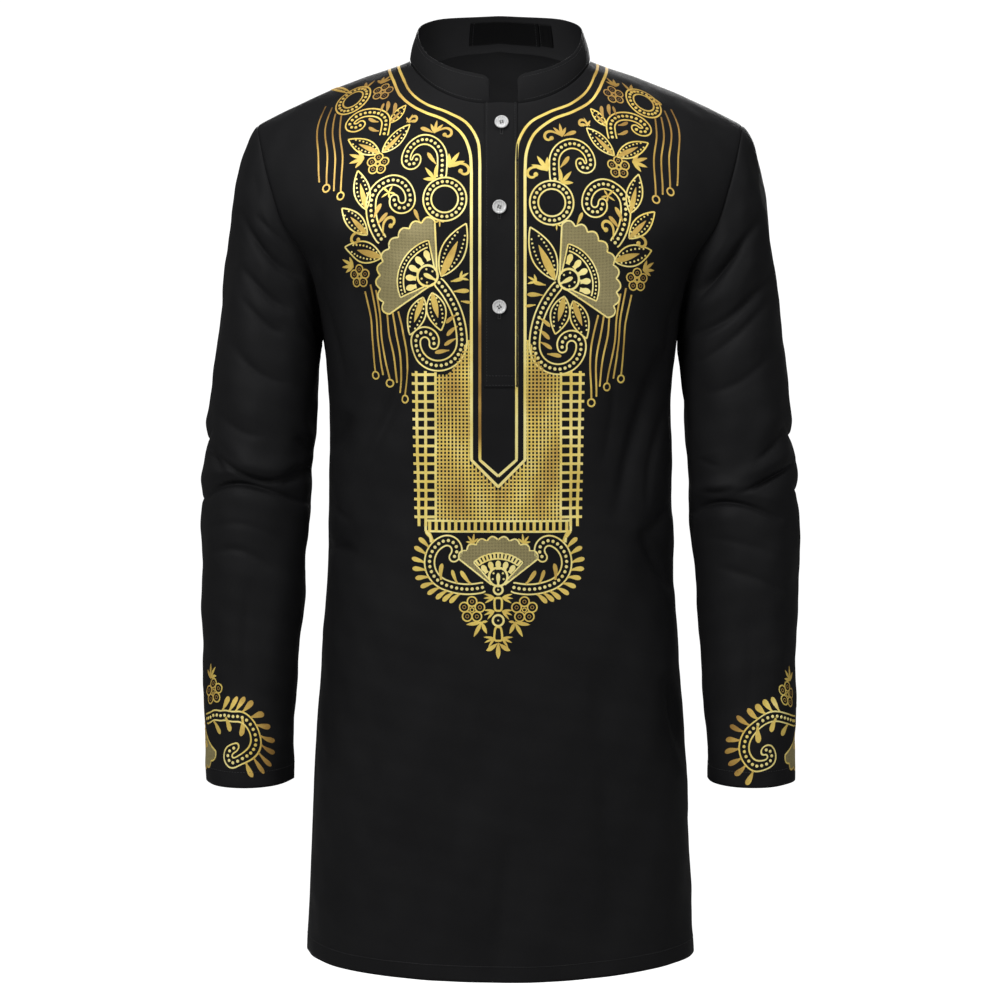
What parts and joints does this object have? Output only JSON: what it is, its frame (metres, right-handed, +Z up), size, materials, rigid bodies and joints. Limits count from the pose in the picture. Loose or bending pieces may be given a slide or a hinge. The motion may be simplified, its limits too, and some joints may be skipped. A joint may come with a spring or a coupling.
{
  "type": "long-sleeve tunic shirt, stand collar and half placket, worn shape",
  "caption": "Long-sleeve tunic shirt in black cloth with a stand collar, a half placket and a gold ornament print, held open in its worn shape.",
  "frame": {"origin": "midway between the two high shoulder points, at the level where the shoulder lines meet the collar", "axes": "+Z up along the body, -Y is the shirt's front, +X is to the right of someone who faces the front"},
  "size_m": [0.5532, 0.2433, 0.8796],
  "materials": {
    "cloth": "black plain-woven cloth with a faint satin sheen, gold foil print",
    "button": "pearl white four-hole button",
    "label": "black satin ribbon, bare"
  },
  "bodies": {
    "root": {"front": "cloth", "back": "cloth", "sleeve_left": "cloth", "sleeve_right": "cloth", "collar": "cloth", "placket": "cloth", "button_top": "button", "button_middle": "button", "button_low": "button", "neck_label": "label", "size_tab": "label"}
  },
  "joints": []
}
